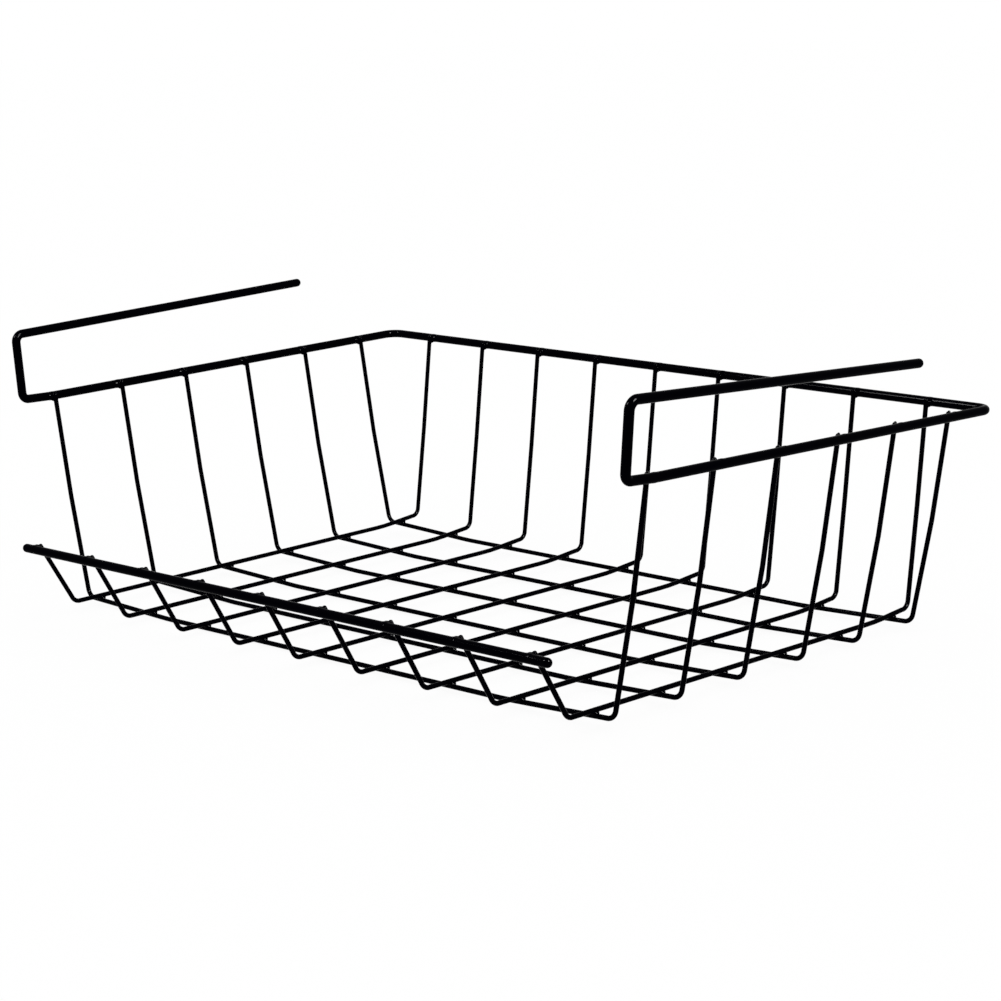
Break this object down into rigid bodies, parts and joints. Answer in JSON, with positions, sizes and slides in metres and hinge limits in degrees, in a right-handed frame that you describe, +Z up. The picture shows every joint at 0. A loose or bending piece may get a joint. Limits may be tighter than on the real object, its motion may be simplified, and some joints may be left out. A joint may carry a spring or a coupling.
{
  "type": "under shelf basket",
  "caption": "Open-fronted basket of welded, coated steel wire that hangs under a shelf board by two wire hooks pushed over the board from its front edge.",
  "frame": {"origin": "on the surface the basket stands on, below the middle of its outline", "axes": "+X to the basket's right as seen from its open front, +Y from the front rail to the back rim, +Z up"},
  "size_m": [0.4103, 0.2814, 0.1463],
  "materials": {
    "frame_coat": "gloss black plastic coat",
    "rail_coat": "gloss black plastic coat",
    "cross_wire_coat": "gloss black plastic coat",
    "long_wire_coat": "gloss black plastic coat"
  },
  "bodies": {
    "root": {"frame_wire": "frame_coat", "front_rail": "rail_coat", "cross_wire_1": "cross_wire_coat", "cross_wire_2": "cross_wire_coat", "cross_wire_3": "cross_wire_coat", "cross_wire_4": "cross_wire_coat", "cross_wire_5": "cross_wire_coat", "cross_wire_6": "cross_wire_coat", "long_wire_1": "long_wire_coat", "long_wire_2": "long_wire_coat", "long_wire_3": "long_wire_coat", "long_wire_4": "long_wire_coat", "long_wire_5": "long_wire_coat", "long_wire_6": "long_wire_coat", "long_wire_7": "long_wire_coat", "long_wire_8": "long_wire_coat", "long_wire_9": "long_wire_coat"}
  },
  "joints": []
}
